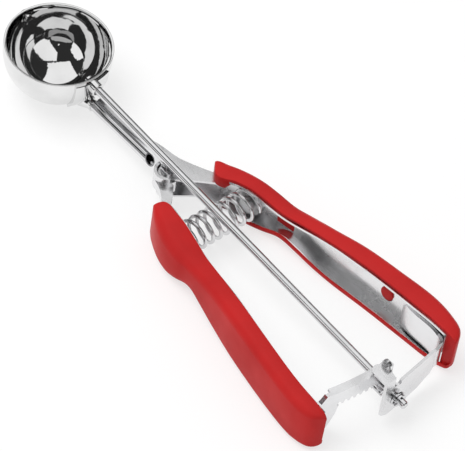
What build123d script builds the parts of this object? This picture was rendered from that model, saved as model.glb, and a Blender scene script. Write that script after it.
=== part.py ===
"""Lever ice cream scoop with a rack-and-pinion wiper, lying on its back.

Millimetres, +Z up, bowl towards -X, fixed handle towards +Y. The origin is under the middle
of the tool, on the table. Distances called d are measured back from the bowl's centre, and
heights called h from the middle of the handles.
"""

import os
from math import asin, atan, cos, degrees, pi, radians, sin, sqrt

from build123d import *

os.makedirs("parts", exist_ok=True)

# Bowl and spindle line
BOWL_R = 21.2
BOWL_WALL = 1.0
RIM_H = 3.0
TILT = 3.3
ROD_R = 1.625
ROD_END = 199.3
RUN = 0.06  # radial clearance of a running fit
PIVOT_FRONT = BOWL_R + 0.8
BLADE_GAP, BLADE_T = 0.3, 0.6
EYE = BOWL_R - BOWL_WALL - BLADE_GAP - BLADE_T  # where the blade's eyes sit on the spindle line

# Handles
REST = 10.4  # half height of the sleeves, and of their flat undersides above the table
FLAT_FROM, FLAT_TO = 142, 178
LIP = 1.2
SHEET = 1.0
HINGE = (67.0, -1.1)
PIN_R = 2.0

# Wiper drive
TEETH = 8
PITCH_R = 3.3
RACK_R = 120.0
PRESSURE = radians(25)
PLAY = 0.1
RACK_ADD, PINION_ADD, ROOT_GAP = 0.55, 0.75, 0.2
RACK_T = 1.6
RACK_TOP = 10.0
BLADE_REST = 4.5  # degrees below the rim side at which the blade waits

# Spring
SPRING_D, SPRING_H = 93.5, -2.15
SPRING_R, WIRE_R = 4.95, 0.55
COILS = 9

DOWN, ALONG_S = sin(radians(TILT)), cos(radians(TILT))
BOWL_X = -ALONG_S * (ROD_END - PIVOT_FRONT) / 2
BOWL = Plane(origin=(BOWL_X, 0, BOWL_R), x_dir=(ALONG_S, 0, -DOWN), z_dir=(DOWN, 0, ALONG_S))
HINGE_AXIS = Vector(BOWL_X + HINGE[0], HINGE[1], 0)


def level(h):
    """Horizontal plane at height h, with x measured back from the bowl."""
    return Plane(origin=(BOWL_X, 0, REST + h))


def side():
    """Upright plane down the middle of the tool: x back from the bowl, y up."""
    return Plane(origin=(BOWL_X, 0, REST), x_dir=(1, 0, 0), z_dir=(0, -1, 0))


def across(x):
    """Plane square to the spindle, x behind the bowl's centre; its own x points to +Y."""
    return Plane(origin=BOWL.from_local_coords((x, 0, 0)), x_dir=(0, 1, 0), z_dir=BOWL.x_dir)


def meridian(angle):
    """Plane through the bowl's upright axis, turned by angle from the spindle."""
    out = BOWL.x_dir.rotate(Axis(BOWL.origin, BOWL.z_dir), angle)
    return Plane(origin=BOWL.origin, x_dir=out, z_dir=out.cross(BOWL.z_dir))


def neck_plane(d):
    """Plane square to the neck tube, d behind the bowl's centre."""
    return Plane(origin=(BOWL_X + d, 0.9, REST - 2.0), x_dir=(0, 1, 0), z_dir=(1, 0, 0))


def save(builder, label):
    builder.part.label = label
    export_step(builder.part, f"parts/{label}.step")


# ---------------------------------------------------------------- bowl and neck
with BuildPart() as bowl:
    with BuildSketch(meridian(0)):
        with BuildLine():
            shell = [
                CenterArc((0, 0), r, -90, 90 + degrees(asin(RIM_H / r)))
                for r in (BOWL_R, BOWL_R - BOWL_WALL)
            ]
            Line(shell[0] @ 0, shell[1] @ 0)
            Line(shell[0] @ 1, shell[1] @ 1)
        make_face()
    revolve(axis=Axis(BOWL.origin, BOWL.z_dir))
    fillet(bowl.edges().filter_by(GeomType.CIRCLE).group_by(Axis.Z)[-1], 0.3)
    with BuildSketch(across(0)):
        Circle(ROD_R + RUN)
    extrude(amount=BOWL_R + 2, mode=Mode.SUBTRACT)
    with BuildSketch(across(0)):
        Circle(1.0)
    extrude(amount=-BOWL_R - 2, mode=Mode.SUBTRACT)
save(bowl, "bowl")

with BuildPart() as bowl_saddle:
    with BuildSketch(meridian(-21)):
        with BuildLine():
            plate = [CenterArc((0, 0), r, -43, 49) for r in (BOWL_R, BOWL_R + 1.0)]
            Line(plate[0] @ 0, plate[1] @ 0)
            Line(plate[0] @ 1, plate[1] @ 1)
        make_face()
    revolve(axis=Axis(BOWL.origin, BOWL.z_dir), revolution_arc=42)
    with BuildSketch(neck_plane(15.8)):
        Circle(4.4)
    with BuildSketch(neck_plane(20.4)):
        Circle(2.45)
    loft()
    with BuildSketch(neck_plane(20.4)):
        Circle(2.45)
    extrude(amount=1.6)
    with Locations(BOWL.location):
        Sphere(BOWL_R, mode=Mode.SUBTRACT)
    with BuildSketch(neck_plane(10)):
        Circle(1.9)
    extrude(amount=20, mode=Mode.SUBTRACT)
    with BuildSketch(across(15)):
        Circle(2.6)
    extrude(amount=10, mode=Mode.SUBTRACT)
save(bowl_saddle, "bowl_saddle")

with BuildPart() as neck_tube:
    with BuildSketch(neck_plane(18.3)):
        Circle(1.9)
        Circle(1.25, mode=Mode.SUBTRACT)
    extrude(amount=37.7)
save(neck_tube, "neck_tube")

with BuildPart() as rear_bearing:
    with BuildSketch(across(18)):
        Circle(2.6)
    extrude(amount=6.6)
    fillet(rear_bearing.edges().sort_by(Axis.X)[-1], 0.6)
    with Locations(BOWL.location):
        Sphere(BOWL_R, mode=Mode.SUBTRACT)
    with BuildSketch(across(15)):
        Circle(ROD_R + RUN)
    extrude(amount=12, mode=Mode.SUBTRACT)
save(rear_bearing, "rear_bearing")

with BuildPart() as front_pivot_rivet:
    with BuildSketch(across(-PIVOT_FRONT)):
        Circle(2.0)
    extrude(amount=1.4)
    fillet(front_pivot_rivet.edges().sort_by(Axis.X)[0], 0.5)
    with Locations(BOWL.location):
        Sphere(BOWL_R, mode=Mode.SUBTRACT)
    with BuildSketch(across(-PIVOT_FRONT + 0.2)):
        Circle(1.0)
    extrude(amount=3.5)
    with BuildSketch(across(0.4 - EYE)):
        Circle(1.7)
    extrude(amount=0.7)
    fillet(front_pivot_rivet.edges().sort_by(Axis.X)[-1], 0.3)
save(front_pivot_rivet, "front_pivot_rivet")


# ---------------------------------------------------------------- handle stampings and sleeves
CROWN = [(68, 8.1), (80, 8.4), (93, 8.7), (109, 6.2), (126, 9.0), (FLAT_FROM, REST)]
BELLY = [(68, 8.1), (80, 8.8), (95, 10.1), (102, 8.9), (110, 6.4), (126, 9.0), (FLAT_FROM, REST)]
FIXED_BACK = [(75.9, 14.9), (81.6, 19.2), (92.2, 23), (108.6, 26.7), (126.4, 29.4), (142.8, 33.2),
              (157.2, 35.5), (173, 38), (184.2, 37.1), (188.6, 35.4), (190.6, 32.4), (189.8, 29.4)]
FIXED_LIP = [(83.2, 9.4), (88.1, 13.1), (97.3, 16.5), (114, 19.8), (130.9, 21.9), (151, 24.9),
             (168, 26.7), (184.7, 28.2), (188.2, 28.6)]
FIXED_WEB = [(78, 14), (85, 17.6), (93.5, 20.9), (104, 22.7), (114, 24.2), (131, 26.7), (151, 29.5),
             (168, 31.2), (187.6, 32.6)]
LEVER_BACK = [(71.3, 11.3), (76, 15.9), (83.2, 21.2), (90, 24.7), (96.4, 26.6), (101.8, 26.8),
              (107, 26.1), (119.1, 28), (144, 33), (165.9, 36.4), (180, 37.9), (187.2, 36.4),
              (190.4, 31.6)]
LEVER_LIP = [(84.2, 13.6), (94, 15), (107.8, 17.3), (128.6, 22), (152.7, 26.9), (174.9, 30.5),
             (188.6, 30.9)]
LEVER_WEB = [(72.5, 11.9), (80, 16.2), (93.5, 19.4), (106, 21.7), (128.6, 26.5), (152.7, 31),
             (174.9, 34.3), (187.4, 34.6)]


def between(back, lip, hand, thinner=0.0, wider=0.0):
    """Upright block between two plan curves, its back moved in and its lip side moved out."""
    with BuildPart() as block:
        with BuildSketch(level(-30)):
            with BuildLine():
                rear = Spline(*[(d, hand * (y - thinner)) for d, y in back])
                front = Spline(*[(d, hand * (y - wider)) for d, y in lip])
                Line(rear @ 0, front @ 0)
                Line(rear @ 1, front @ 1)
            make_face()
        extrude(amount=60)
    return block.part


def tall(inset):
    """Block across the tool whose top and bottom follow the handles' side outline."""
    rest = REST - inset
    with BuildPart() as block:
        with BuildSketch(side()):
            for up, waist in ((1, CROWN), (-1, BELLY)):
                with BuildLine():
                    wave = Spline(*[(d, up * (h - inset)) for d, h in waist], tangents=[(1, 0), (1, 0)])
                    flat = Line(wave @ 1, (FLAT_TO, up * rest))
                    tail = Spline(flat @ 1, (187, up * (rest - 0.9)), (194, up * (rest - 3.2)),
                                  tangents=[(1, 0), (1, -0.5 * up)])
                    Polyline(tail @ 1, (194, 0), (68, 0), wave @ 0)
                make_face()
        extrude(amount=60, both=True)
    return block.part


def slanted(top, bottom, hand):
    """Block whose top and bottom are bent across the line from the hinge into one handle."""
    diagonal = Plane(origin=(BOWL_X, 0, REST), x_dir=(1, hand, 0), z_dir=(hand, -1, 0))
    with BuildPart() as block:
        with BuildSketch(diagonal):
            with BuildLine():
                Polyline(*top, *reversed(bottom), close=True)
            make_face()
        extrude(amount=120, both=True)
    return block.part


outside, inside, hollow = tall(0), tall(LIP), tall(LIP + SHEET)


def sleeve(block, web, lip, hand, nose, stamping):
    """Moulded grip: a rounded block with the room for its stamping taken out."""
    room = between([nose] + web, lip, hand, wider=12) & inside
    with BuildPart() as grip:
        add(block)
        add(outside, mode=Mode.INTERSECT)
        back = grip.faces().filter_by(GeomType.EXTRUSION).group_by(Axis.Y)[-1 if hand > 0 else 0]
        fillet(back.edges().filter_by(lambda e: e.length > 12 and abs(e.center().Z - REST) > 2), 3.4)
        add(room, mode=Mode.SUBTRACT)
        add(stamping, mode=Mode.SUBTRACT)
    return grip


FIXED_TOP = [(12, 0.6), (32, 0.8), (41.5, 3.2), (44.5, 3.6), (53.7, 3.6), (63.3, 6.9), (90, 6.9)]
FIXED_BOTTOM = [(12, -4.0), (34, -4.0), (41.5, -7.2), (90, -7.2)]
LEVER_TOP = [(30, 1.3), (52.5, 1.3), (61.6, 6.8), (90, 6.8)]
LEVER_BOTTOM = [(30, -2.2), (52.5, -2.2), (62.2, -7.2), (90, -7.2)]
FRONT_EDGE = [(22, 4.0), (34, 4.0), (45, 4.2), (57.6, 5.7), (63.1, 6.5), (73.5, 10.8), (81, 15.0)]


def channel(web, lip, hand):
    """Stamped channel inside a sleeve, open towards the other handle."""
    return (between(web, lip, hand, wider=0.6) & inside) - (
        between(web, lip, hand, SHEET, 14) & hollow
    )


fixed_channel = channel(FIXED_WEB, FIXED_LIP, 1)
fixed_skin = slanted(FIXED_TOP, FIXED_BOTTOM, 1)
fixed_under = slanted([(s, h - SHEET) for s, h in FIXED_TOP], FIXED_BOTTOM, 1)

with BuildPart() as fixed_handle:
    # top flange from the neck over the hinge into the sleeve
    with BuildSketch(level(0)):
        with BuildLine():
            edge = Spline(*FRONT_EDGE)
            Polyline(edge @ 1, (85, 11.2), (77.6, 4.4), (69.4, -3.3), HINGE, (63.9, -0.1),
                     (56, 2.5), (22, 2.3), edge @ 0)
        make_face()
        with Locations(HINGE):
            Circle(3.3)
    extrude(amount=20, both=True)
    add(fixed_skin, mode=Mode.INTERSECT)
    add(fixed_under, mode=Mode.SUBTRACT)
    # upright web along the right-hand edge
    with BuildSketch(level(0), mode=Mode.PRIVATE) as strip:
        with BuildLine():
            edge = Spline(*FRONT_EDGE)
            inner = Spline(*[(d, y - SHEET) for d, y in FRONT_EDGE])
            Line(edge @ 0, inner @ 0)
            Line(edge @ 1, inner @ 1)
        make_face()
    web_block = extrude(strip.sketch, amount=20, both=True, mode=Mode.PRIVATE)
    add(web_block & fixed_skin)
    # bottom flange
    with BuildSketch(level(-7.2)):
        with BuildLine():
            edge = Spline(*[(d, y - 0.5) for d, y in FRONT_EDGE[3:]])
            Polyline(edge @ 1, (85, 11.2), (76.5, 6.6), (69.6, -3.1), HINGE, (63.8, -0.1), edge @ 0)
        make_face()
        with Locations(HINGE):
            Circle(3.3)
    extrude(amount=SHEET)
    add(fixed_channel)
    with BuildSketch(level(0)):
        with Locations(HINGE):
            Circle(PIN_R)
    extrude(amount=20, both=True, mode=Mode.SUBTRACT)
    # openings in the web that key the sleeve
    with BuildSketch(Plane(origin=(BOWL_X, 0, REST), x_dir=(1, 0, 0), z_dir=(0, 1, 0))):
        with Locations((108.5, -1)):
            Rectangle(8, 5)
        with Locations((157, 0.5)):
            Circle(2.9)
    extrude(amount=40, mode=Mode.SUBTRACT)
save(fixed_handle, "fixed_handle")

fixed_sleeve = sleeve(between(FIXED_BACK, FIXED_LIP, 1), FIXED_WEB, FIXED_LIP, 1, (70, 9.3), fixed_handle.part)
with BuildPart() as keys:
    with BuildSketch(Plane(origin=(BOWL_X, 0, REST), x_dir=(1, 0, 0), z_dir=(0, 1, 0))):
        with Locations((108.5, -1)):
            Rectangle(8, 5)
        with Locations((157, 0.5)):
            Circle(2.9)
    extrude(amount=36)
    add(between(FIXED_WEB, FIXED_BACK, 1, SHEET + 0.4, 2.5), mode=Mode.INTERSECT)
with BuildPart() as fixed_grip:
    add(fixed_sleeve.part)
    add(keys.part)
save(fixed_grip, "fixed_sleeve")

lever_channel = channel(LEVER_WEB, LEVER_LIP, -1)
lever_skin = slanted(LEVER_TOP, LEVER_BOTTOM, -1)
lever_core = slanted([(s, h - SHEET) for s, h in LEVER_TOP], [(s, h + SHEET) for s, h in LEVER_BOTTOM], -1)

with BuildPart() as lever_core_room:
    with BuildSketch(level(0)):
        Polygon((66.5, -5.9), (73.4, -11.1), (80.3, -14.9), (85, -16.5), (90, -8), (76, -1), (71, -1), align=None)
    extrude(amount=20, both=True)
    add(lever_core, mode=Mode.INTERSECT)

with BuildPart() as lever_handle:
    with BuildSketch(level(0)):
        with BuildLine():
            edge = Spline((62.6, -3.5), (66, -7.3), (72.5, -11.9), (80, -16.1), (85, -17.5))
            Polyline(edge @ 1, (85, -12.9), (79, -11.3), (75, -7.9), (71.9, -2.1), edge @ 0)
        make_face()
    extrude(amount=20, both=True)
    add(lever_skin, mode=Mode.INTERSECT)
    add(lever_core_room.part, mode=Mode.SUBTRACT)
    with BuildSketch(level(0)):
        with Locations(HINGE):
            Circle(4.4)
    extrude(amount=20, both=True, mode=Mode.SUBTRACT)
    # knuckle curled round the pin, with the two pierced tongues inside it
    with BuildSketch(level(-3.2)):
        with Locations(HINGE):
            Circle(5)
            Circle(3.9, mode=Mode.SUBTRACT)
        with Locations((HINGE[0] + 3.4, HINGE[1] + 3.4)):
            Rectangle(6, 6, mode=Mode.SUBTRACT)
    extrude(amount=5.5)
    for h in (-2.6, 0.4):
        with BuildSketch(level(h)):
            with Locations(HINGE):
                Circle(4.2)
        extrude(amount=0.9)
    add(lever_channel)
    with BuildSketch(level(0)):
        with Locations(HINGE):
            Circle(PIN_R + RUN)
    extrude(amount=20, both=True, mode=Mode.SUBTRACT)
save(lever_handle, "lever_handle")

lever_sleeve = sleeve(between(LEVER_BACK, LEVER_LIP, -1), LEVER_WEB, LEVER_LIP, -1, (66, 7.3), lever_handle.part)
save(lever_sleeve, "lever_sleeve")

with BuildPart() as hinge_pin:
    for h, radius, length in ((-7.8, 3.0, 0.6), (-7.2, PIN_R, 10.8), (3.6, 2.5, 0.8)):
        with BuildSketch(level(h)):
            with Locations(HINGE):
                Circle(radius)
        extrude(amount=length)
    with BuildSketch(level(4.4)):
        with Locations(HINGE):
            Circle(1.3)
    extrude(amount=-1.2, mode=Mode.SUBTRACT)
save(hinge_pin, "hinge_pin")

with BuildPart() as hinge_washer:
    with BuildSketch(level(-6.2)):
        with Locations(HINGE):
            Circle(3.2)
            Circle(PIN_R, mode=Mode.SUBTRACT)
    extrude(amount=2.6)
save(hinge_washer, "hinge_washer")


# ---------------------------------------------------------------- spindle, wiper and pinion
with BuildPart() as spindle:
    for x, radius, length in ((EYE - 0.95, 2.3, 0.8), (EYE - 0.5, ROD_R, ROD_END - EYE + 0.5)):
        with BuildSketch(across(x)):
            Circle(radius)
        extrude(amount=length)
    chamfer(spindle.edges().filter_by(GeomType.CIRCLE).sort_by(Axis.X)[-1], 0.35)
    with BuildSketch(across(195.9)):
        Circle(ROD_R + 1)
        Circle(1.25, mode=Mode.SUBTRACT)
    extrude(amount=0.7, mode=Mode.SUBTRACT)
save(spindle, "spindle")

blade_way = BOWL.y_dir.rotate(Axis(BOWL.origin, BOWL.x_dir), -BLADE_REST)
blade_plane = Plane(origin=BOWL.origin, x_dir=BOWL.x_dir, z_dir=blade_way)

with BuildPart() as wiper:
    with BuildSketch(blade_plane.offset(-2)):
        with BuildLine():
            edge = Spline((-20, 2.0), (-17, 2.1), (-12, 2.9), (0, 3.1), (12, 2.9), (17, 2.1), (20, 2.0))
            Line(edge @ 0, (-20, 0))
            Line((-20, 0), (20, 0))
            Line((20, 0), edge @ 1)
        make_face()
        mirror(about=Plane.XZ)
    extrude(amount=24)
    with Locations(BOWL.location):
        Sphere(EYE + BLADE_T, mode=Mode.INTERSECT)
        Sphere(EYE, mode=Mode.SUBTRACT)
    for reach, radius in ((22, ROD_R), (-22, 1.0 + RUN)):
        with BuildSketch(across(0)):
            Circle(radius)
        extrude(amount=reach, mode=Mode.SUBTRACT)
save(wiper, "wiper")

with BuildPart() as tail_washer:
    with BuildSketch(across(194.9)):
        Circle(3.1)
        Circle(ROD_R, mode=Mode.SUBTRACT)
    extrude(amount=0.8)
save(tail_washer, "tail_washer")

with BuildPart() as tail_clip:
    with BuildSketch(across(195.9)):
        Circle(2.7)
        Circle(1.25, mode=Mode.SUBTRACT)
        with Locations((-2.5, 0)):
            Rectangle(4, 1.8, mode=Mode.SUBTRACT)
    extrude(amount=0.7)
save(tail_clip, "tail_clip")


def involute(radius):
    """Roll angle of the tooth flank's involute at a radius."""
    slope = sqrt(max((radius / (PITCH_R * cos(PRESSURE))) ** 2 - 1, 0))
    return slope - atan(slope)


def flank(radius):
    """Half the angle that a pinion tooth fills at a radius."""
    return (pi / TEETH - PLAY / PITCH_R) / 2 + involute(PITCH_R) - involute(radius)


PINION_X = (RACK_R + HINGE[0]) / ALONG_S
radii = [PITCH_R - RACK_ADD - ROOT_GAP - 0.1, 2.99, 3.3, 3.65, PITCH_R + PINION_ADD]
tooth = [(r, -flank(r)) for r in radii] + [(r, flank(r)) for r in reversed(radii)]

with BuildPart() as pinion:
    with BuildSketch(across(PINION_X - 2.6)):
        Polygon(
            *[
                (r * cos(pi / 2 + 2 * pi * k / TEETH + a), r * sin(pi / 2 + 2 * pi * k / TEETH + a))
                for k in range(TEETH)
                for r, a in tooth
            ],
            align=None,
        )
        Circle(ROD_R, mode=Mode.SUBTRACT)
    extrude(amount=5.2)
save(pinion, "pinion")


# ---------------------------------------------------------------- rack on the lever
PITCH_H = BOWL_R - (RACK_R + HINGE[0]) * DOWN / ALONG_S + PITCH_R / ALONG_S - REST
PITCH_ANGLE = degrees(2 * pi * PITCH_R / TEETH / RACK_R)
START = degrees(asin((-24.5 - HINGE[1]) / RACK_R))
FINISH = degrees(asin((2.6 - HINGE[1]) / RACK_R))
MESH = degrees(asin(-HINGE[1] / RACK_R))
GAP = pi * PITCH_R / TEETH + PLAY

with BuildPart() as rack:
    with BuildSketch(level(0)):
        with BuildLine():
            bar = CenterArc(HINGE, RACK_R, START, FINISH - START)
            Spline(bar @ 0, (183.2, -29.4), (179.6, -32.2), (174.9, -32.4), (162, -30.6),
                   tangents=[(bar % 0) * -1, (-1, 0.14)])
        trace(line_width=RACK_T)
    extrude(amount=20, both=True)
    with BuildSketch(Plane(origin=(BOWL_X + 150, 0, REST), x_dir=(0, 1, 0), z_dir=(1, 0, 0))):
        Polygon((6, PITCH_H - RACK_ADD), (6, RACK_TOP), (-26.5, RACK_TOP), (-28.4, 6.5), (-38, 6),
                (-38, -6.5), (-28, -7.5), (-24.8, -8.4), (-22, -1.8), (-20.9, PITCH_H - RACK_ADD), align=None)
    extrude(amount=60, mode=Mode.INTERSECT)
    # stiffening fold along the top
    with BuildSketch(level(RACK_TOP - 1)):
        with BuildLine():
            fold = [CenterArc(HINGE, r, START, FINISH - START) for r in (RACK_R - 2.4, RACK_R)]
            Line(fold[0] @ 0, fold[1] @ 0)
            Line(fold[0] @ 1, fold[1] @ 1)
        make_face()
    extrude(amount=1.0)
    for n in range(-8, 2):
        turn = MESH + n * PITCH_ANGLE
        out = Vector(cos(radians(turn)), sin(radians(turn)), 0)
        spot = HINGE_AXIS + out * (RACK_R + 2) + Vector(0, 0, REST + PITCH_H)
        with BuildSketch(Plane(origin=spot, x_dir=out.cross(Vector(0, 0, -1)), z_dir=out)):
            wide, narrow = [GAP / 2 + h * sin(PRESSURE) / cos(PRESSURE) for h in (RACK_ADD + 0.3, -PINION_ADD - ROOT_GAP)]
            Polygon((-wide, -RACK_ADD - 0.3), (wide, -RACK_ADD - 0.3), (narrow, PINION_ADD + ROOT_GAP),
                    (-narrow, PINION_ADD + ROOT_GAP), align=None)
        extrude(amount=-4, mode=Mode.SUBTRACT)
save(rack, "rack")


# ---------------------------------------------------------------- tail bracket on the fixed handle
BRACKET_D, BRACKET_T, BRACKET_TURN = 193.4, 1.2, 8.7
bracket_plane = Plane(
    origin=(BOWL_X + BRACKET_D, 0, REST),
    x_dir=(-sin(radians(BRACKET_TURN)), cos(radians(BRACKET_TURN)), 0),
    z_dir=(cos(radians(BRACKET_TURN)), sin(radians(BRACKET_TURN)), 0),
)

with BuildPart() as tongue:
    with BuildSketch(level(0)):
        with BuildLine():
            Spline((190.25, 21), (189.6, 24), (187.6, 26.6), (184.6, 28.0), (180, 28.6), (166, 29.35))
        trace(line_width=BRACKET_T)
    extrude(amount=20, both=True)
    with BuildSketch(side()):
        Polygon((165.5, -5.4), (167.7, -7.4), (183.5, -7.4), (186, -2.5), (194, -2.5), (194, 7), (189, 6.6),
                (184.5, 5), (168, 4.4), (165.5, 2.2), align=None)
    extrude(amount=60, both=True, mode=Mode.INTERSECT)

with BuildPart() as bracket:
    with BuildSketch(bracket_plane.offset(-BRACKET_T / 2)):
        Polygon((-8, -4.4), (-4.3, -6.8), (0, -7.1), (6.6, -7.4), (13.6, -7.1), (16.5, -5.7), (20.2, -4.9),
                (21.6, -2.5), (21.6, 7), (1.4, 7.4), (1.4, 6.2), (-0.6, 6.2), (-1.4, 7.2), (-2.8, 7.6),
                (-2.8, 13.0), (-8, 13.0), align=None)
    extrude(amount=BRACKET_T)
    add(tongue.part)
    # keeper folded forward over the rack, with its upright ear
    with BuildSketch(level(12.0)):
        Polygon((194.2, -8), (193.6, -2.8), (190.2, -1.8), (187.4, -1.8), (187.4, -7.9), align=None)
        with Locations((188.4, -5.3)):
            Circle(2.8)
    extrude(amount=1.0)
    with BuildSketch(Plane(origin=(BOWL_X + 188.6, -1.6, REST + 13.3), x_dir=(1, 0, 0), z_dir=(0, -1, 0))):
        SlotCenterToCenter(1.2, 4.4, rotation=90)
        with Locations((0.8, 0)):
            Circle(0.9, mode=Mode.SUBTRACT)
    extrude(amount=1.0)
    with BuildSketch(across(185)):
        Circle(ROD_R + RUN)
    extrude(amount=20, mode=Mode.SUBTRACT)
save(bracket, "bracket")


# ---------------------------------------------------------------- spring and its seats
FIXED_FACE, LEVER_FACE = 17.9, -17.7


def seat(face, web, hand):
    """Spring seat pressed against the web: a stud inside the end coil on a round foot."""
    inner = between(web, web, hand, SHEET, 16) & hollow
    with BuildPart() as cup:
        for start, radius, length in ((face, 4.9, 6), (face - hand * 2.6, 3.2, 4)):
            spot = (BOWL_X + SPRING_D, start, REST + SPRING_H)
            with BuildSketch(Plane(origin=spot, x_dir=(1, 0, 0), z_dir=(0, hand, 0))):
                Circle(radius)
            extrude(amount=length)
        add(inner, mode=Mode.INTERSECT)
    return cup


save(seat(FIXED_FACE, FIXED_WEB, 1), "spring_seat_fixed")
save(seat(LEVER_FACE, LEVER_WEB, -1), "spring_seat_lever")

with BuildPart() as spring:
    length = FIXED_FACE - LEVER_FACE - 2 * WIRE_R
    with BuildLine():
        coil = Helix(
            pitch=length / COILS,
            height=length,
            radius=SPRING_R,
            center=(BOWL_X + SPRING_D, LEVER_FACE + WIRE_R, REST + SPRING_H),
            direction=(0, 1, 0),
        )
    with BuildSketch(Plane(origin=coil @ 0, z_dir=coil % 0)):
        Circle(WIRE_R)
    sweep(is_frenet=True)
save(spring, "spring")
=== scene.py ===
"""Dresses the lever ice cream scoop: bowl, spring, sleeves, stampings, neck, drive and stage."""

from math import asin, atan2, cos, degrees, pi, radians, sin, sqrt, tan

import bpy
from bpy.props import FloatProperty, FloatVectorProperty, PointerProperty
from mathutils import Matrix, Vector


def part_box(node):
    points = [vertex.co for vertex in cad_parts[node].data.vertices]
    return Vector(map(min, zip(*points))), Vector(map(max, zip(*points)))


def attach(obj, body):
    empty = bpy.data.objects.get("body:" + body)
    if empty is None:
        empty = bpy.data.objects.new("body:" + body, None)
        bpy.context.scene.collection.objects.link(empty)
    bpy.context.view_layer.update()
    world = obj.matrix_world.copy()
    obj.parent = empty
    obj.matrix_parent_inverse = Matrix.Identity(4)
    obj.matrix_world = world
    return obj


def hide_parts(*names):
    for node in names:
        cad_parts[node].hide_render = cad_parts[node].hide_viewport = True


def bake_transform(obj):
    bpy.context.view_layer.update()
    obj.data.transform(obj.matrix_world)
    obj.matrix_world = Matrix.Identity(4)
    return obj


bl_info = {
    "name": "Lever ice cream scoop",
    "version": (1, 0, 0),
    "blender": (4, 5, 0),
    "location": "View3D > Sidebar > Scoop",
    "description": "Models and finishes the pieces of a lever ice cream scoop",
    "category": "Object",
}

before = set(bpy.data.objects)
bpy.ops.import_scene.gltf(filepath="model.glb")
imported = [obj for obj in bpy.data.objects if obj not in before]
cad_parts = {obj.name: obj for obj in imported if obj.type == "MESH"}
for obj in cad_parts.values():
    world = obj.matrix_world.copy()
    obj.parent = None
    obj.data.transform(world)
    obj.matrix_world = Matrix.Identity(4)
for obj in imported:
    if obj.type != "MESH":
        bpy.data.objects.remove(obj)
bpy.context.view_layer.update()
MM = 0.001

# ---------------------------------------------------------------- outlines
# In millimetres: d behind the bowl's centre, y from the middle line outwards, and h above or below
# the middle of the handles. A curve is a row of (d, value) points. A hand is 1 for the fixed handle,
# which lies on the +Y side, and -1 for the lever.
REST = 10.4  # height of the middle of the handles above the floor
FAR = 12  # past every handle, up and down
HINGE = (67.0, -1.1)
SHEET = 1.0

CROWN = (
    (68, 8.1), (80, 8.4), (93, 8.7), (100.5, 7.6), (109, 6.2), (117, 7.4), (126, 9.0), (142, 10.4),
    (178, 10.4), (187, 9.5), (193, 7.6),
)
BELLY = (
    (68, 8.1), (80, 8.8), (95, 10.1), (102, 8.9), (110, 6.4), (118, 7.6), (126, 9.0), (142, 10.4),
    (178, 10.4), (187, 9.5), (193, 7.6),
)
FIXED_BACK = (
    (75.7, 14.7), (81.6, 19.2), (92.2, 23), (108.6, 26.6), (126.4, 29.3), (142.8, 32.7), (157.2, 34.8),
    (173, 36.8), (184.2, 36.2), (188.6, 34.9), (191, 32.6), (192.3, 30.2),
)
FIXED_LIP = (
    (75.7, 14.5), (76.9, 13.4), (80.3, 10.5), (82.5, 9.8), (85.6, 11.0), (88.1, 13.1), (97.3, 16.5),
    (114, 19.8), (130.9, 21.9), (151, 24.9), (168, 26.7), (184.7, 28.2), (192.3, 29.2),
)
FIXED_WEB = (
    (78, 14), (85, 17.6), (93.5, 20.9), (104, 22.7), (114, 24.2), (131, 26.7), (151, 29.5),
    (168, 31.2), (187.6, 32.6),
)
LEVER_BACK = (
    (79, 18.0), (80, 18.9), (83.2, 21.2), (90, 24.4), (96.4, 25.9), (101.8, 26.1), (107, 25.5),
    (119.1, 27.3), (144, 32.4), (165.9, 36.2), (180, 37.7), (187.2, 36.4), (189.6, 33.9), (190.5, 31.7),
)
LEVER_LIP = (
    (79, 17.2), (79.2, 16.5), (80.1, 15), (81.5, 13.9), (83.5, 13.6), (87.6, 14.2), (94, 15),
    (107.8, 17.3), (128.6, 22), (152.7, 26.9), (174.9, 30.5), (190.5, 31.2),
)
LEVER_WEB = (
    (79.6, 15.9), (93.5, 19.4), (106, 21.7), (128.6, 26.5), (152.7, 31), (174.9, 34.3), (187.4, 34.6),
)

OVER, UNDER = 1.2, 1.8  # a sleeve's wall above and below the stamping
UNDER_LIP = 1.0  # how far the fixed sleeve's lower lip stands out
LIP_START, LIP_RUN, LIP_BACK = 94, 4, 6.5  # in front of this d, over this run, it draws back so far
LIP_CLEAR, FLOOR_CLEAR = 0.4, 0.3  # least width of a section at the lower lip, and of its lower wall
MOST_WALL, MOST_ROUND = 0.3, 0.45  # largest share of a section that a wall or a rounding takes
LIP_ROUND, LIP_MIDDLE = 0.4, 0.3  # rounding of a lip, and where its middle point lies, as a share
INNER_EASE, INNER_DROP, WALL_STEP = 0.2, 0.2, 0.01  # of the lips' inner corners, and of the walls
LEAST_INSIDE = 0.06  # hollow left where the sleeve is solid
NOSE_RUN, TAIL_RUN, END_DROP = 2.4, 2.0, 1.7  # how a sleeve's ends round off
NOSE_FLOOR = 3.5  # height down to which the fixed sleeve's nose is solid
NOSE_END, NOSE_FADE = 88, 2  # d at which that ends, and the stretch over which it fades before
WEB_START, WEB_END = 0.8, 0.4  # how much shorter than the web the hollow is
NOSE_STEPS = (0.02, 0.1, 0.3, 0.6, 1, 1.5, 2, 2.8, 3.6, 4.4, 5.4, 6.6, 8)
TAIL_STEPS = (6.4, 5.2, 4.2, 3.4, 2.6, 2, 1.5, 1, 0.6, 0.3, 0.1, 0.02)
MIDDLE_START, MIDDLE_STEP, MIDDLE_LESS = 10, 1.5, 18
# place (d, h), length and height, and depth of the lugs in the web's openings
KEYS = (((108.5, -1), (8, 5), 3.2), ((157, 0.5), (5.8, 5.8), 3.6))
KEY_OUT, KEY_ROUND = 0.2, 0.3

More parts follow.
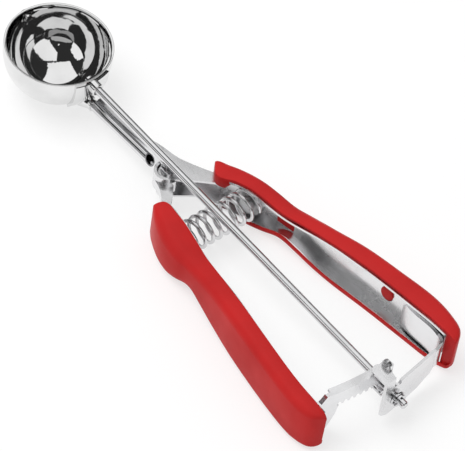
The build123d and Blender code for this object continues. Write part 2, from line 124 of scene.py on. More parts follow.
PLATE_TOP = 3.6
FRONT_EDGE = ((63.1, 6.5), (66.5, 7.6), (73.5, 10.8), (81, 15.0))
PLATE_INSIDE = ((84.8, 15.7), (87.4, 13.1), (85, 12), (82, 10.4), (77.3, 5.4), (75.3, 2.9), (73, 0.09))
# PLATE_ROOM and NECK_ROOM are the parts of the copied meshes that are cut off.
PLATE_ROOM = ((95, 4), (70, 29), (58, 16), (78, -4))
NECK_OUTSIDE = ((62.6, -3.5), (66, -5.9), (70, -7.2), (75, -10.2), (80, -14.6), (85, -17))
NECK_INSIDE = [(85, -13.6), (79.5, -9.8), (76, -5.4), (72.4, -2.1)]
NECK_WALL = (0.5, 0.87)  # from the neck's outside to its inside
NECK_LOW, NECK_TOP = -2.2, 1.3
NECK_ROOM = ((109, 12), (55, 12), (50, -25), (72, -25))
# where a part starts and stops flaring, its hand, and how far it flares up and down
PLATE_FLARE = (96, 99.5, 1, 3.3, 0)
NECK_FLARE = (87.7, 96.2, -1, 5.5, 4.4)
EDGE_STEP = 0.5  # between the points of a plate's or neck's curved edge
PLATE_START, PLATE_POINTS, NECK_POINTS = 65.5, 32, 45

KNUCKLE, KNUCKLE_INSIDE, KNUCKLE_ROOM = 5, 3.9, 4.4  # radii of the ring, and of its room in the neck
KNUCKLE_LOW, KNUCKLE_TOP = -3.2, 2.3
RIM_LOW, RIM_TOP, RIM_TURN = 2.0, 4.3, (175, 333)
OPEN_CORNER = ((0.4, 0.4), (6.4, 0.4), (6.4, 6.4), (0.4, 6.4))  # of the knuckle, from the hinge
TONGUE, TONGUE_BORE, TONGUE_SHEET, TONGUE_LEVELS = 4.2, 2.05, 0.9, (-2.6, 0.4)
ROUND_STEPS = 64

TUBE_Y, TUBE_H = 0.9, -2
TUBE_ENDS, BORE_ENDS = (18.3, 60), (10, 70)
SLANT_PLACE, SLANT = (53.2, 0.1), (4.2, 0, 5.0)  # (d, h) of the tube's cut, and the way it faces


# ---------------------------------------------------------------- sizes and colours
class ScoopSizes(bpy.types.PropertyGroup):
    bowl_radius: FloatProperty(
        name="Bowl radius", description="Outside radius of the bowl", default=0.0212, unit="LENGTH"
    )
    bowl_wall: FloatProperty(
        name="Bowl wall", description="Thickness of the bowl's sheet", default=0.001, unit="LENGTH"
    )
    rim_height: FloatProperty(
        name="Rim height",
        description="Height of the rim above the bowl's centre",
        default=0.003,
        unit="LENGTH",
    )
    tilt: FloatProperty(
        name="Tilt", description="Fall of the spindle towards the tail", default=radians(3.3), subtype="ANGLE"
    )
    spindle_radius: FloatProperty(
        name="Spindle radius", description="Radius of the spindle rod", default=0.001625, unit="LENGTH"
    )
    wire_radius: FloatProperty(
        name="Spring wire", description="Radius of the spring's wire", default=0.00075, unit="LENGTH"
    )
    spring_radius: FloatProperty(
        name="Spring radius", description="Radius of the spring's coil", default=0.0058, unit="LENGTH"
    )
    coils: FloatProperty(name="Coils", description="Turns of the spring", default=9.0)
    tube_radius: FloatProperty(
        name="Neck tube radius",
        description="Outside radius of the neck's tube",
        default=0.0019,
        unit="LENGTH",
    )
    tube_bore: FloatProperty(
        name="Neck tube bore", description="Inside radius of the neck's tube", default=0.0015, unit="LENGTH"
    )


class ScoopColours(bpy.types.PropertyGroup):
    polished: FloatVectorProperty(
        name="Polished steel",
        description="Bowl, wiper and saddle",
        default=(0.80, 0.80, 0.80),
        size=3,
        subtype="COLOR",
    )
    bright: FloatVectorProperty(
        name="Bright steel",
        description="Spindle, tube, pin and pinion",
        default=(0.76, 0.76, 0.77),
        size=3,
        subtype="COLOR",
    )
    stamped: FloatVectorProperty(
        name="Stamped steel",
        description="Handles, rack and bracket",
        default=(0.84, 0.84, 0.85),
        size=3,
        subtype="COLOR",
    )
    red: FloatVectorProperty(
        name="Sleeve red",
        description="Moulded sleeves of both handles",
        default=(0.56, 0.020, 0.020),
        size=3,
        subtype="COLOR",
    )


# ---------------------------------------------------------------- finishes
def new_group(name, inputs, outputs):
    group = bpy.data.node_groups.new(name, "ShaderNodeTree")
    for label, value in inputs:
        socket = group.interface.new_socket(label, in_out="INPUT", socket_type="NodeSocketFloat")
        socket.default_value = value
    for label in outputs:
        group.interface.new_socket(label, in_out="OUTPUT", socket_type="NodeSocketFloat")
    return group, group.nodes.new("NodeGroupInput"), group.nodes.new("NodeGroupOutput")


def handling_marks():
    """Smudges and fine scratches over a metal surface, as a 0 to 1 mask and a height."""
    group, given, out = new_group("Handling marks", [("Smudge", 90.0), ("Grain", 900.0)], ["Mask", "Height"])
    nodes, links = group.nodes, group.links
    where = nodes.new("ShaderNodeTexCoord")
    smudge = nodes.new("ShaderNodeTexNoise")
    smudge.inputs["Detail"].default_value = 4
    grain = nodes.new("ShaderNodeTexNoise")
    grain.inputs["Detail"].default_value = 2
    ramp = nodes.new("ShaderNodeMapRange")
    ramp.inputs["From Min"].default_value = 0.42
    ramp.inputs["From Max"].default_value = 0.68
    for noise, label in ((smudge, "Smudge"), (grain, "Grain")):
        links.new(where.outputs["Object"], noise.inputs["Vector"])
        links.new(given.outputs[label], noise.inputs["Scale"])
    links.new(smudge.outputs["Fac"], ramp.inputs["Value"])
    links.new(ramp.outputs["Result"], out.inputs["Mask"])
    links.new(grain.outputs["Fac"], out.inputs["Height"])
    return group


def rolled_grain():
    """Long fine lines along +X, as left by rolling and brushing sheet."""
    group, given, out = new_group("Rolled grain", [("Fineness", 2400.0)], ["Lines"])
    nodes, links = group.nodes, group.links
    where = nodes.new("ShaderNodeTexCoord")
    stretch = nodes.new("ShaderNodeMapping")
    stretch.inputs["Scale"].default_value = (0.03, 1, 1)
    noise = nodes.new("ShaderNodeTexNoise")
    noise.inputs["Detail"].default_value = 3
    links.new(where.outputs["Object"], stretch.inputs["Vector"])
    links.new(stretch.outputs["Vector"], noise.inputs["Vector"])
    links.new(given.outputs["Fineness"], noise.inputs["Scale"])
    links.new(noise.outputs["Fac"], out.inputs["Lines"])
    return group


def blank(name):
    material = bpy.data.materials.new(name)
    material.use_nodes = True
    nodes, links = material.node_tree.nodes, material.node_tree.links
    return material, nodes, links, nodes["Principled BSDF"]


def placed(nodes, group, **values):
    node = nodes.new("ShaderNodeGroup")
    node.node_tree = group
    for label, value in values.items():
        node.inputs[label].default_value = value
    return node


def spread(nodes, links, source, low, high):
    """Maps a 0 to 1 value to the range low to high."""
    span = nodes.new("ShaderNodeMapRange")
    span.inputs["To Min"].default_value = low
    span.inputs["To Max"].default_value = high
    links.new(source, span.inputs["Value"])
    return span.outputs["Result"]


def tinted(nodes, links, source, dark, light):
    mix = nodes.new("ShaderNodeMix")
    mix.data_type = "RGBA"
    mix.inputs["A"].default_value = (*dark, 1)
    mix.inputs["B"].default_value = (*light, 1)
    links.new(source, mix.inputs["Factor"])
    return mix.outputs["Result"]


def raised(nodes, links, source, surface, distance, strength=0.3):
    bump = nodes.new("ShaderNodeBump")
    bump.inputs["Distance"].default_value = distance
    bump.inputs["Strength"].default_value = strength
    links.new(source, bump.inputs["Height"])
    links.new(bump.outputs["Normal"], surface.inputs["Normal"])


def steel(name, colour, marks, rough, grain=None, depth=0.00001, fineness=2400.0):
    """Steel with handling marks, and rolled lines where a grain group is given."""
    material, nodes, links, surface = blank(name)
    surface.inputs["Metallic"].default_value = 1
    wear = placed(nodes, marks, Smudge=90.0, Grain=1100.0)
    links.new(spread(nodes, links, wear.outputs["Mask"], *rough), surface.inputs["Roughness"])
    shade = tuple(c * 0.93 for c in colour)
    links.new(tinted(nodes, links, wear.outputs["Mask"], colour, shade), surface.inputs["Base Color"])
    if grain:
        lines = placed(nodes, grain, Fineness=fineness)
        raised(nodes, links, lines.outputs["Lines"], surface, depth)
    else:
        raised(nodes, links, wear.outputs["Height"], surface, depth, 0.1)
    return material


def moulded_red(name, colour, marks):
    """Satin moulded plastic: a fine orange-peel skin and slightly uneven colour."""
    material, nodes, links, surface = blank(name)
    surface.inputs["Specular IOR Level"].default_value = 0.12
    wear = placed(nodes, marks, Smudge=45.0, Grain=2200.0)
    links.new(spread(nodes, links, wear.outputs["Mask"], 0.40, 0.52), surface.inputs["Roughness"])
    deep = tuple(c * 0.86 for c in colour)
    links.new(tinted(nodes, links, wear.outputs["Mask"], colour, deep), surface.inputs["Base Color"])
    raised(nodes, links, wear.outputs["Height"], surface, 0.00003, 0.35)
    return material


def finishes():
    """Builds each finish once and returns them by name."""
    if "Polished steel" not in bpy.data.materials:
        colours = bpy.context.scene.scoop_colours
        marks, grain = handling_marks(), rolled_grain()
        steel("Polished steel", colours.polished, marks, (0.03, 0.07), depth=0.000001)
        steel("Bright steel", colours.bright, marks, (0.10, 0.18), depth=0.000004)
        steel("Spring steel", colours.bright, marks, (0.14, 0.24), depth=0.000004)
        steel("Stamped steel", colours.stamped, marks, (0.22, 0.30), grain, 0.000001)
        steel("Seat steel", tuple(c * 0.8 for c in colours.stamped), marks, (0.30, 0.42), grain, 0.000002)
        moulded_red("Sleeve red", colours.red, marks)
    return bpy.data.materials


def finish_node(node, material):
    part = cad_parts[node]
    part.data.materials.clear()
    part.data.materials.append(finishes()[material])


# ---------------------------------------------------------------- modelling helpers
def only(part=None):
    """Leaves just this object selected and active, or nothing."""
    if bpy.context.object and bpy.context.object.mode != "OBJECT":
        bpy.ops.object.mode_set(mode="OBJECT")
    bpy.ops.object.select_all(action="DESELECT")
    if part:
        part.select_set(True)
        bpy.context.view_layer.objects.active = part
    return part


def named(name):
    """Names the object just added, and moves its place into its mesh."""
    part = bpy.context.object
    part.name = part.data.name = name
    bpy.ops.object.transform_apply(location=True, rotation=True, scale=True)
    return part


def apply(part, kind, **settings):
    only(part)
    modifier = part.modifiers.new(kind.title(), kind)
    for key, value in settings.items():
        setattr(modifier, key, value)
    bpy.ops.object.modifier_apply(modifier=modifier.name)


def cut(part, tool):
    apply(part, "BOOLEAN", operation="DIFFERENCE", object=tool, solver="EXACT")
    bpy.data.objects.remove(tool)


def finished(part, body, material, slot, *replaced):
    only(part)
    bpy.ops.object.shade_smooth_by_angle(angle=radians(35))
    part.data.materials.clear()
    part.data.materials.append(finishes()[material])
    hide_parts(*replaced)
    if body:
        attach(part, body)
    only()
    return part


def lofted(name, sections):
    """Skins a row of closed outlines with equal numbers of points, and caps both ends."""
    around, steps = len(sections[0]), len(sections) - 1
    only()
    bpy.ops.mesh.primitive_circle_add(vertices=around, radius=1)
    part = named(name)
    turns = [atan2(v.co.y, v.co.x) for v in part.data.vertices]
    apply(part, "SCREW", angle=0, screw_offset=steps, steps=steps, render_steps=steps, use_smooth_shade=False)
    if len(part.data.vertices) != around * (steps + 1):
        raise RuntimeError(f"{name}: the skin has the wrong number of points")
    for vertex in part.data.vertices:
        here = atan2(vertex.co.y, vertex.co.x)
        spot = min(range(around), key=lambda i: abs((here - turns[i] + pi) % (2 * pi) - pi))
        vertex.co = sections[round(vertex.co.z)][spot]
    only(part)
    bpy.ops.object.mode_set(mode="EDIT")
    bpy.ops.mesh.select_all(action="SELECT")
    bpy.ops.mesh.fill_holes(sides=0)
    bpy.ops.mesh.select_all(action="SELECT")
    bpy.ops.mesh.normals_make_consistent(inside=False)
    bpy.ops.object.mode_set(mode="OBJECT")
    return part


def clamped(value):
    return max(0.0, min(1.0, value))


def at(curve, d):
    """Value at d of a smooth curve through its (d, value) points."""
    last = len(curve) - 2
    i = max(0, min(last, sum(1 for point in curve if point[0] <= d) - 1))
    (x0, y0), (x1, y1) = curve[i], curve[i + 1]

    def slope(k):
        a, b = curve[max(0, k - 1)], curve[min(len(curve) - 1, k + 1)]
        return (b[1] - a[1]) / (b[0] - a[0])

    span = x1 - x0
    t = clamped((d - x0) / span)
    m0, m1 = slope(i) * span, slope(i + 1) * span
    return (
        (2 * t**3 - 3 * t**2 + 1) * y0
        + (t**3 - 2 * t**2 + t) * m0
        + (3 * t**2 - 2 * t**3) * y1
        + (t**3 - t**2) * m1
    )


def sampled(curve, start, count):
    """The curve's points at equal steps from start."""
    return [(start + k * EDGE_STEP, at(curve, start + k * EDGE_STEP)) for k in range(count)]


def corner(y, z, radius, start, count=5):
    """Points of a quarter round about a centre, from the start angle clockwise."""
    turns = [radians(start - 90 * k / count) for k in range(count + 1)]
    return [(y + radius * cos(a), z + radius * sin(a)) for a in turns]


def placed_at(d, points, hand):
    """Puts (y, h) points of a section d behind the bowl's centre into the part's frame."""
    front = bowl_place()[0].x
    return [Vector((front + d * MM, hand * y * MM, (REST + h) * MM)) for y, h in points]


def bowl_place():
    """Centre of the bowl and the directions of the spindle and of the bowl's axis."""
    sizes = bpy.context.scene.scoop_sizes
    low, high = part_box("bowl")
    along = Vector((cos(sizes.tilt), 0, -sin(sizes.tilt)))
    up = Vector((sin(sizes.tilt), 0, cos(sizes.tilt)))
    return Vector((low.x + sizes.bowl_radius, 0, low.z + sizes.bowl_radius)), along, up


# ---------------------------------------------------------------- pieces
RIM_ROUND = 0.0003
CLEARANCE = 0.00006
RIVET_RADIUS = 0.001
DRILL_LENGTH = 0.01


class SCOOP_OT_bowl(bpy.types.Operator):
    """Spins the bowl's shell, rounds its rim and pierces it for the spindle and the front rivet"""

    bl_idname = "scoop.bowl"
    bl_label = "Bowl"

    def execute(self, context):
        sizes = context.scene.scoop_sizes
        centre, along, up = bowl_place()
        only()
        bpy.ops.mesh.primitive_uv_sphere_add(
            segments=160,
            ring_count=96,
            radius=sizes.bowl_radius,
            location=centre,
            rotation=(0, sizes.tilt, 0),
        )
        bowl = named("Bowl")
        bpy.ops.object.mode_set(mode="EDIT")
        bpy.ops.mesh.select_all(action="SELECT")
        rim = centre + up * sizes.rim_height
        bpy.ops.mesh.bisect(plane_co=rim, plane_no=up, clear_outer=True)
        bpy.ops.object.mode_set(mode="OBJECT")
        apply(bowl, "SOLIDIFY", thickness=sizes.bowl_wall, offset=-1)
        apply(bowl, "BEVEL", width=RIM_ROUND, segments=3, limit_method="ANGLE", angle_limit=radians(50))
        for way, radius in ((along, sizes.spindle_radius + CLEARANCE), (-along, RIVET_RADIUS)):
            bpy.ops.mesh.primitive_cylinder_add(
                vertices=48,
                radius=radius,
                depth=DRILL_LENGTH,
                location=centre + way * sizes.bowl_radius,
                rotation=along.to_track_quat("Z", "Y").to_euler(),
            )
            cut(bowl, bpy.context.object)
        finished(bowl, "frame", "Polished steel", "polished_steel", "bowl")
        return {"FINISHED"}


SPRING_SHIFT = (0.0004, 0, 0.0016)  # from the middle of the node to that of the coil
COIL_STEPS = 40


class SCOOP_OT_spring(bpy.types.Operator):
    """Winds the return spring between the two handles"""

    bl_idname = "scoop.spring"
    bl_label = "Spring"

    def execute(self, context):
        sizes = context.scene.scoop_sizes
        low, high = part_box("spring")
        wire = sizes.wire_radius
        middle = (low + high) / 2 + Vector(SPRING_SHIFT)
        radius = sizes.spring_radius
        start = Vector((middle.x, low.y + wire, middle.z))
        only()
        bpy.ops.mesh.primitive_circle_add(
            vertices=14, radius=wire, location=start + Vector((radius, 0, 0)), rotation=(0, 0, 0)
        )
        spring = named("Spring")
        axis = bpy.data.objects.new("Spring axis", None)
        axis.location = start
        axis.rotation_euler = (-pi / 2, 0, 0)
        context.scene.collection.objects.link(axis)
        context.view_layer.update()
        length = high.y - low.y - 2 * wire
        apply(
            spring,
            "SCREW",
            axis="Z",
            object=axis,
            angle=2 * pi * sizes.coils,
            screw_offset=length,
            steps=round(COIL_STEPS * sizes.coils),
            render_steps=round(COIL_STEPS * sizes.coils),
            use_merge_vertices=False,
            use_normal_calculate=True,
        )
        bpy.data.objects.remove(axis)
        bpy.ops.object.mode_set(mode="EDIT")
        bpy.ops.mesh.select_all(action="DESELECT")
        bpy.ops.mesh.select_mode(type="EDGE")
        bpy.ops.mesh.select_non_manifold()
        bpy.ops.mesh.edge_face_add()
        bpy.ops.mesh.select_all(action="SELECT")
        bpy.ops.mesh.normals_make_consistent(inside=False)
        bpy.ops.object.mode_set(mode="OBJECT")
        finished(spring, None, "Spring steel", "spring_steel", "spring")
        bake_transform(spring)
        return {"FINISHED"}


def sleeve_section(d, back, lip, web, hand, roundness):
    """Outline of a moulded grip at d: round the back from the upper lip, then round its inside."""
    outer, edge = at(back, d), at(lip, d)
    near = clamped(min((d - back[0][0]) / NOSE_RUN, (back[-1][0] - d) / TAIL_RUN))
    drop = END_DROP * (1 - sqrt(max(0.0, 1 - (1 - near) ** 2)))
    top, bottom = at(CROWN, d) - drop, drop - at(BELLY, d)

    under_edge = edge
    if hand > 0:  # the fixed sleeve's lower lip stands out, and starts behind the nose
        under_edge = edge - UNDER_LIP + LIP_BACK * clamped((LIP_START - d) / LIP_RUN)
    under_edge = min(under_edge, outer - LIP_CLEAR)
    radius = min(roundness, MOST_ROUND * (outer - edge))
    lower = min(radius, MOST_ROUND * (outer - under_edge))
    soft = min(LIP_ROUND, MOST_WALL * (outer - edge), MOST_WALL * (outer - under_edge))

    in_room = web[0][0] + WEB_START < d < web[-1][0] - WEB_END
    deep = max(edge + LEAST_INSIDE, at(web, d) if in_room else 0)
    under_deep = max(deep, under_edge + FLOOR_CLEAR)
    over = min(OVER, MOST_WALL * (top - bottom))
    under = min(UNDER, MOST_WALL * (top - bottom))
    if hand > 0:
        over += max(0.0, top - NOSE_FLOOR - over) * clamped((NOSE_END - d) / NOSE_FADE)
    return placed_at(
        d,
        [
            (edge, top - soft),
            (edge + LIP_MIDDLE * soft, top - LIP_MIDDLE * soft),
            (edge + soft, top),
            *corner(outer - radius, top - radius, radius, 90),
            *corner(outer - lower, bottom + lower, lower, 0),
            (under_edge + soft, bottom),
            (under_edge + LIP_MIDDLE * soft, bottom + LIP_MIDDLE * soft),
            (under_edge, bottom + soft),
            (under_edge, bottom + under - INNER_DROP),
            (under_edge + INNER_EASE * soft, bottom + under),
            (under_deep, bottom + under),
            (under_deep, bottom + under + WALL_STEP),
            (deep, top - over - WALL_STEP),
            (deep, top - over),
            (edge + INNER_EASE * soft, top - over),
            (edge, top - over + INNER_DROP),
        ],
        hand,
    )


class SCOOP_OT_sleeves(bpy.types.Operator):
    """Moulds the rounded sleeves of both handles, with the keys in the fixed web's openings"""

    bl_idname = "scoop.sleeves"
    bl_label = "Sleeves"

    def execute(self, context):
        for name, node, body, back, lip, web, hand, roundness in (
            ("fixed_grip", "fixed_sleeve", "frame", FIXED_BACK, FIXED_LIP, FIXED_WEB, 1, 3.6),
            ("lever_grip", "lever_sleeve", "lever", LEVER_BACK, LEVER_LIP, LEVER_WEB, -1, 4.4),
        ):
            nose, tail = back[0][0], back[-1][0]
            middle = int((tail - nose - MIDDLE_LESS) / MIDDLE_STEP)
            stops = [nose + step for step in NOSE_STEPS]
            stops += [nose + MIDDLE_START + MIDDLE_STEP * k for k in range(middle)]
            stops += [tail - step for step in TAIL_STEPS]
            grip = lofted(name, [sleeve_section(d, back, lip, web, hand, roundness) for d in stops])
            if hand > 0:
                join_keys(grip)
            finished(grip, body, "Sleeve red", "red_sleeve", node)
        return {"FINISHED"}


def join_keys(grip):
    """Adds the two lugs that fill the openings of the fixed handle's web."""
    front = bowl_place()[0].x
    for (d, h), (length, height), depth in KEYS:
        middle = at(FIXED_WEB, d) + KEY_OUT
        turn = atan2(at(FIXED_WEB, d + 3) - at(FIXED_WEB, d - 3), 6)
        where = Vector((front + d * MM, middle * MM, (REST + h) * MM))
        only()
        if length == height:
            bpy.ops.mesh.primitive_cylinder_add(
                vertices=48,
                radius=length / 2 * MM,
                depth=depth * MM,
                location=where,
                rotation=(pi / 2, 0, turn),
            )
        else:
            bpy.ops.mesh.primitive_cube_add(size=MM, location=where, rotation=(0, 0, turn))
            bpy.context.object.scale = (length, depth, height)
        lug = named("Key")
        apply(lug, "BEVEL", width=KEY_ROUND * MM, segments=2, limit_method="ANGLE", angle_limit=radians(50))
        apply(grip, "BOOLEAN", operation="UNION", object=lug, solver="EXACT")
        bpy.data.objects.remove(lug)


def circle(radius, first=0, last=360):
    """Points of a circle about the hinge, or of a slice of it that starts at the centre."""
    whole = last - first == 360
    steps = range(ROUND_STEPS if whole else ROUND_STEPS + 1)
    turns = [radians(first + (last - first) * k / ROUND_STEPS) for k in steps]
    points = [(HINGE[0] + radius * cos(a), HINGE[1] + radius * sin(a)) for a in turns]
    return points if whole else [HINGE, *points]


def prism(name, outline, low, high):
    """Extrudes a closed (d, y) outline from one height to another."""
    only()
    bpy.ops.mesh.primitive_circle_add(vertices=len(outline), radius=1, fill_type="NGON")
    part = named(name)
    front = bowl_place()[0].x
    for vertex, (d, y) in zip(part.data.vertices, outline):
        vertex.co = (front + d * MM, y * MM, (REST + low) * MM)
    bpy.ops.object.mode_set(mode="EDIT")
    bpy.ops.mesh.select_all(action="SELECT")
    bpy.ops.mesh.extrude_region_move(TRANSFORM_OT_translate={"value": (0, 0, (high - low) * MM)})
    bpy.ops.mesh.select_all(action="SELECT")
    bpy.ops.mesh.normals_make_consistent(inside=False)
    bpy.ops.object.mode_set(mode="OBJECT")
    return part


def flared(part, start, end, hand, rise, fall):
    """Bends a flat part up above the middle, and down below it, between two lines across the handle."""
    front = bowl_place()[0].x
    across = Vector((1, hand, 0))
    middle = (REST + (NECK_LOW + NECK_TOP) / 2) * MM
    only(part)
    bpy.ops.object.mode_set(mode="EDIT")
    for line in (start, end):
        bpy.ops.mesh.select_all(action="SELECT")
        bpy.ops.mesh.bisect(plane_co=(front + line * MM, 0, 0), plane_no=across)
    bpy.ops.object.mode_set(mode="OBJECT")
    for vertex in part.data.vertices:
        reach = vertex.co.dot(across) / MM - front / MM
        share = clamped((reach - start) / (end - start))
        vertex.co.z += share * (rise if vertex.co.z > middle else -fall) * MM
    return part


def copied(node, name):
    """A new object with its own copy of a node's mesh."""
    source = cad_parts[node]
    part = bpy.data.objects.new(name, source.data.copy())
    part.data.transform(source.matrix_world)
    bpy.context.scene.collection.objects.link(part)
    bpy.context.view_layer.update()
    return part


def plain_facets(part):
    """Shades the many small facets of a cut stamping flat, so that slivers don't show."""
    only(part)
    bpy.ops.object.shade_flat()
    only()


def joined(part, *others):
    """Unites a part with others, which are used up."""
    for other in others:
        apply(part, "BOOLEAN", operation="UNION", object=other, solver="EXACT")
        bpy.data.objects.remove(other)
    part.data.validate()
    return part


def front_plate():
    """The fixed handle's flat front plate, which flares up inside the sleeve."""
    outline = [*sampled(FRONT_EDGE, PLATE_START, PLATE_POINTS), *PLATE_INSIDE]
    return flared(prism("Plate", outline, PLATE_TOP - SHEET, PLATE_TOP), *PLATE_FLARE)


def lever_neck():
    """The lever's channel between its knuckle and its sleeve."""
    bend = [*sampled(NECK_OUTSIDE, NECK_OUTSIDE[0][0], NECK_POINTS), NECK_OUTSIDE[-1]]
    inside = [(d + NECK_WALL[0], y + NECK_WALL[1]) for d, y in reversed(bend)]
    neck = joined(
        flared(prism("Neck", bend + inside, NECK_LOW, NECK_TOP), *NECK_FLARE),
        flared(prism("Top", bend + NECK_INSIDE, NECK_TOP - SHEET, NECK_TOP), *NECK_FLARE),
        flared(prism("Bottom", bend + NECK_INSIDE, NECK_LOW, NECK_LOW + SHEET), *NECK_FLARE),
    )
    cut(neck, prism("Room", circle(KNUCKLE_ROOM), -FAR, FAR))
    return neck


def lever_knuckle():
    """The ring curled round the hinge's pin, with its raised rim and two pierced tongues."""
    ring = prism("Ring", circle(KNUCKLE), KNUCKLE_LOW, KNUCKLE_TOP)
    cut(ring, prism("Room", circle(KNUCKLE_INSIDE), -FAR, FAR))
    rim = prism("Rim", circle(KNUCKLE, *RIM_TURN), RIM_LOW, RIM_TOP)
    cut(rim, prism("Room", circle(KNUCKLE_INSIDE), -FAR, FAR))
    joined(ring, rim)
    cut(ring, prism("Room", [(HINGE[0] + d, HINGE[1] + y) for d, y in OPEN_CORNER], -FAR, FAR))
    for low in TONGUE_LEVELS:
        tongue = prism("Tongue", circle(TONGUE), low, low + TONGUE_SHEET)
        cut(tongue, prism("Room", circle(TONGUE_BORE), -FAR, FAR))
        joined(ring, tongue)
    return ring


class SCOOP_OT_stampings(bpy.types.Operator):
    """Shapes the fronts of the two stampings, and finishes the rack, the bracket and the seats"""

    bl_idname = "scoop.stampings"
    bl_label = "Stampings"

    def execute(self, context):
        fixed = copied("fixed_handle", "fixed_stamping")
        cut(fixed, prism("Room", PLATE_ROOM, PLATE_TOP - SHEET + 0.1, FAR))
        joined(fixed, front_plate())
        finished(fixed, "frame", "Stamped steel", "stamped_steel", "fixed_handle")
        plain_facets(fixed)

        neck, knuckle = lever_neck(), lever_knuckle()
        lever = copied("lever_handle", "lever_stamping")
        cut(lever, prism("Room", NECK_ROOM, -FAR, FAR))
        joined(lever, neck, knuckle)
        finished(lever, "lever", "Stamped steel", "stamped_steel", "lever_handle")
        plain_facets(lever)

        for node in ("rack", "bracket"):
            finish_node(node, "Stamped steel")
        for node in ("spring_seat_fixed", "spring_seat_lever"):
            finish_node(node, "Seat steel")
        return {"FINISHED"}


def tube_along(name, radius, ends):
    """A rod along the neck's tube from one d to another."""
    start, end = ends
    only()
    bpy.ops.mesh.primitive_cylinder_add(
        vertices=ROUND_STEPS,
        radius=radius,
        depth=(end - start) * MM,
        location=(bowl_place()[0].x + (start + end) / 2 * MM, TUBE_Y * MM, (REST + TUBE_H) * MM),
        rotation=(0, pi / 2, 0),
    )
    return named(name)


class SCOOP_OT_neck(bpy.types.Operator):
    """Draws the tube of the neck, with its end cut at a slant"""

    bl_idname = "scoop.neck"
    bl_label = "Neck tube"

    def execute(self, context):
        sizes = context.scene.scoop_sizes
        d, h = SLANT_PLACE
        tube = tube_along("neck", sizes.tube_radius, TUBE_ENDS)
        bpy.ops.object.mode_set(mode="EDIT")
        bpy.ops.mesh.select_all(action="SELECT")
        bpy.ops.mesh.bisect(
            plane_co=(bowl_place()[0].x + d * MM, 0, (REST + h) * MM),
            plane_no=SLANT,
            clear_outer=True,
            use_fill=True,
        )
        bpy.ops.object.mode_set(mode="OBJECT")
        cut(tube, tube_along("Bore", sizes.tube_bore, BORE_ENDS))
        finished(tube, "frame", "Bright steel", "bright_rod", "neck_tube")
        return {"FINISHED"}


class SCOOP_OT_drive(bpy.types.Operator):
    """Finishes the spindle with its pinion, wiper and small fittings, and the hinge"""

    bl_idname = "scoop.drive"
    bl_label = "Spindle, wiper and hinge"

    def execute(self, context):
        for node in ("wiper", "bowl_saddle", "front_pivot_rivet", "rear_bearing"):
            finish_node(node, "Polished steel")
        for node in ("spindle", "pinion", "tail_washer", "tail_clip", "hinge_pin", "hinge_washer"):
            finish_node(node, "Bright steel")
        return {"FINISHED"}


# ---------------------------------------------------------------- stage
def shown_to_camera(nodes, links, shader_off, shader_on):
    """Shows one shader to the camera and in reflections, and the other to everything else."""
    path = nodes.new("ShaderNodeLightPath")
    seen = nodes.new("ShaderNodeMath")
    seen.operation = "MAXIMUM"
    shown = nodes.new("ShaderNodeMath")
    shown.operation = "MAXIMUM"
    links.new(path.outputs["Is Camera Ray"], seen.inputs[0])
    links.new(path.outputs["Is Glossy Ray"], seen.inputs[1])
    links.new(seen.outputs[0], shown.inputs[0])
    links.new(path.outputs["Is Transmission Ray"], shown.inputs[1])
    mix = nodes.new("ShaderNodeMixShader")
    links.new(shown.outputs[0], mix.inputs["Fac"])
    links.new(shader_off, mix.inputs[1])
    links.new(shader_on, mix.inputs[2])
    return mix.outputs[0]


# Cards round the studio: brightness, then the corners as the turn from the front towards +X and
# the height above the floor, in degrees. Everything else is the dark room.
CARDS = (
    (
        1.0,
        (
            (115, 70), (70, 77), (17, 73), (-14, 58), (-72, 42), (-105, 42), (-160, 42), (-170, 62),
            (156, 73),
        ),
    ),
    (1.0, ((71, 27), (64, 40), (47, 56), (48, 73), (117, 61), (117, 20), (90, 15))),
    (1.0, ((12, 28), (8, 42), (-28, 44), (-34, 15), (12, 15))),
    (0.45, ((17, 0.5), (17, 26), (67, 26), (67, 0.5))),
    (0.40, ((-90, 0.5), (-90, 36), (-135, 36), (-180, 36), (-190, 0.5))),
    (1.0, ((45, 36), (48, 36), (48, 39), (45, 39))),
)
DARK_ROOM = 0.03


def glowing(name, value):
    material = bpy.data.materials.new(name)
    material.use_nodes = True
    nodes, links = material.node_tree.nodes, material.node_tree.links
    nodes.remove(nodes["Principled BSDF"])
    glow = nodes.new("ShaderNodeEmission")
    glow.inputs["Color"].default_value = (value, value, value, 1)
    links.new(glow.outputs[0], nodes["Material Output"].inputs["Surface"])
    return material


def on_chart(turn, height):
    """Place of a direction on a flat chart of the dome, with its top in the middle."""
    reach = tan(radians(90 - height) / 2)
    return reach * sin(radians(turn)), reach * cos(radians(turn))


def within(spot, corners):
    """Whether a spot on the chart lies inside a polygon."""
    inside = False
    for (ax, ay), (bx, by) in zip(corners, corners[1:] + corners[:1]):
        if (ay > spot[1]) != (by > spot[1]) and spot[0] < ax + (spot[1] - ay) * (bx - ax) / (by - ay):
            inside = not inside
    return inside


def studio_room(radius=2.5, step=2):
    """A dark dome with bright cards on it, which only shows in reflections."""
    only()
    bpy.ops.mesh.primitive_uv_sphere_add(segments=360 // step, ring_count=180 // step, radius=radius)
    room = named("Studio room")
    room.visible_camera = room.visible_diffuse = room.visible_shadow = False
    room.data.materials.append(glowing("Dark room", DARK_ROOM))
    for index, (value, _) in enumerate(CARDS):
        room.data.materials.append(glowing(f"Studio card {index}", value))
    charts = [[on_chart(*corner) for corner in corners] for _, corners in CARDS]
    for face in room.data.polygons:
        way = face.center.normalized()
        if way.z > 0:
            spot = on_chart(degrees(atan2(way.x, -way.y)), degrees(asin(way.z)))
            for index, chart in enumerate(charts):
                if within(spot, chart):
                    face.material_index = index + 1


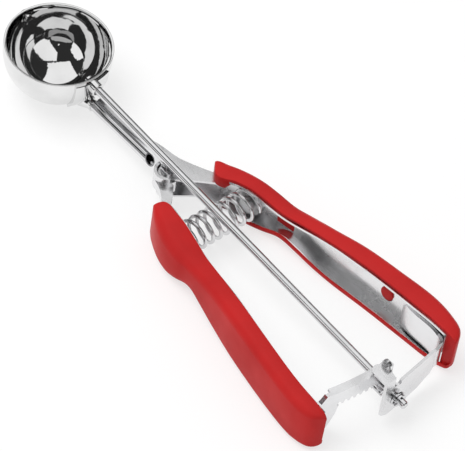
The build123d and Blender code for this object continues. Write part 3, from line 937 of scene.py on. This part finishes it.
FLOOR_SIZE = 12
FLOOR_LIT, FLOOR_SHADED, FLOOR_GLOW = 0.9, 0.36, 0.66  # the last two are what the camera sees
WORLD_FILL = 0.55
SOFTBOX_PLACE, SOFTBOX_SIZE, SOFTBOX_POWER = (-0.5, -0.4, 1.3), (1.2, 0.9), 12
CAMERA_PLACE = (0.54628, -0.57710, 0.90918)
CAMERA_TURN = (40.9579, -6.0377, 49.5723)
LENS = 251.81


class SCOOP_OT_stage(bpy.types.Operator):
    """Lays the pale floor and sets up the light, the cards and the camera"""

    bl_idname = "scoop.stage"
    bl_label = "Stage"

    def execute(self, context):
        only()
        bpy.ops.mesh.primitive_plane_add(size=FLOOR_SIZE, location=(0, 0, 0))
        floor = named("Floor")
        material, nodes, links, surface = blank("Pale floor")
        surface.inputs["Base Color"].default_value = (FLOOR_LIT, FLOOR_LIT, FLOOR_LIT, 1)
        surface.inputs["Roughness"].default_value = 0.9
        surface.inputs["Specular IOR Level"].default_value = 0
        shaded = nodes.new("ShaderNodeBsdfDiffuse")
        shaded.inputs["Color"].default_value = (FLOOR_SHADED, FLOOR_SHADED, FLOOR_SHADED, 1)
        glow = nodes.new("ShaderNodeEmission")
        glow.inputs["Color"].default_value = (FLOOR_GLOW, FLOOR_GLOW, FLOOR_GLOW, 1)
        both = nodes.new("ShaderNodeAddShader")
        links.new(shaded.outputs[0], both.inputs[0])
        links.new(glow.outputs[0], both.inputs[1])
        links.new(
            shown_to_camera(nodes, links, surface.outputs[0], both.outputs[0]),
            nodes["Material Output"].inputs["Surface"],
        )
        floor.data.materials.append(material)

        world = bpy.data.worlds.new("Studio")
        context.scene.world = world
        world.use_nodes = True
        nodes, links = world.node_tree.nodes, world.node_tree.links
        fill = nodes["Background"]
        fill.inputs["Color"].default_value = (1, 1, 1, 1)
        fill.inputs["Strength"].default_value = WORLD_FILL
        white = nodes.new("ShaderNodeBackground")
        white.inputs["Color"].default_value = (1, 1, 1, 1)
        links.new(
            shown_to_camera(nodes, links, fill.outputs[0], white.outputs[0]),
            nodes["World Output"].inputs["Surface"],
        )

        lamp = bpy.data.lights.new("Softbox", "AREA")
        lamp.shape = "RECTANGLE"
        lamp.size, lamp.size_y = SOFTBOX_SIZE
        lamp.energy = SOFTBOX_POWER
        box = bpy.data.objects.new("Softbox", lamp)
        box.location = SOFTBOX_PLACE
        box.rotation_euler = (-Vector(box.location)).to_track_quat("-Z", "Y").to_euler()
        box.visible_glossy = False
        context.scene.collection.objects.link(box)

        eye = bpy.data.cameras.new("Camera")
        eye.lens = LENS
        eye.clip_start, eye.clip_end = 0.05, 50
        camera = bpy.data.objects.new("Camera", eye)
        camera.location = CAMERA_PLACE
        camera.rotation_euler = [radians(a) for a in CAMERA_TURN]
        context.scene.collection.objects.link(camera)
        context.scene.camera = camera
        context.scene.view_settings.view_transform = "Standard"

        studio_room()
        return {"FINISHED"}


PIECES = (
    SCOOP_OT_bowl,
    SCOOP_OT_spring,
    SCOOP_OT_sleeves,
    SCOOP_OT_stampings,
    SCOOP_OT_neck,
    SCOOP_OT_drive,
    SCOOP_OT_stage,
)


class SCOOP_PT_panel(bpy.types.Panel):
    """Lists the scoop's operators and its sizes and colours"""

    bl_idname = "SCOOP_PT_panel"
    bl_label = "Ice cream scoop"
    bl_space_type = "VIEW_3D"
    bl_region_type = "UI"
    bl_category = "Scoop"

    def draw(self, context):
        for piece in PIECES:
            self.layout.operator(piece.bl_idname)
        for group in (context.scene.scoop_sizes, context.scene.scoop_colours):
            for key in group.__annotations__:
                self.layout.prop(group, key)


CLASSES = (ScoopSizes, ScoopColours, *PIECES, SCOOP_PT_panel)


def register():
    for item in CLASSES:
        bpy.utils.register_class(item)
    bpy.types.Scene.scoop_sizes = PointerProperty(type=ScoopSizes)
    bpy.types.Scene.scoop_colours = PointerProperty(type=ScoopColours)


def unregister():
    del bpy.types.Scene.scoop_sizes
    del bpy.types.Scene.scoop_colours
    for item in reversed(CLASSES):
        bpy.utils.unregister_class(item)


def main():
    register()
    for piece in PIECES:
        group, name = piece.bl_idname.split(".")
        getattr(getattr(bpy.ops, group), name)()


if __name__ == "__main__":
    main()
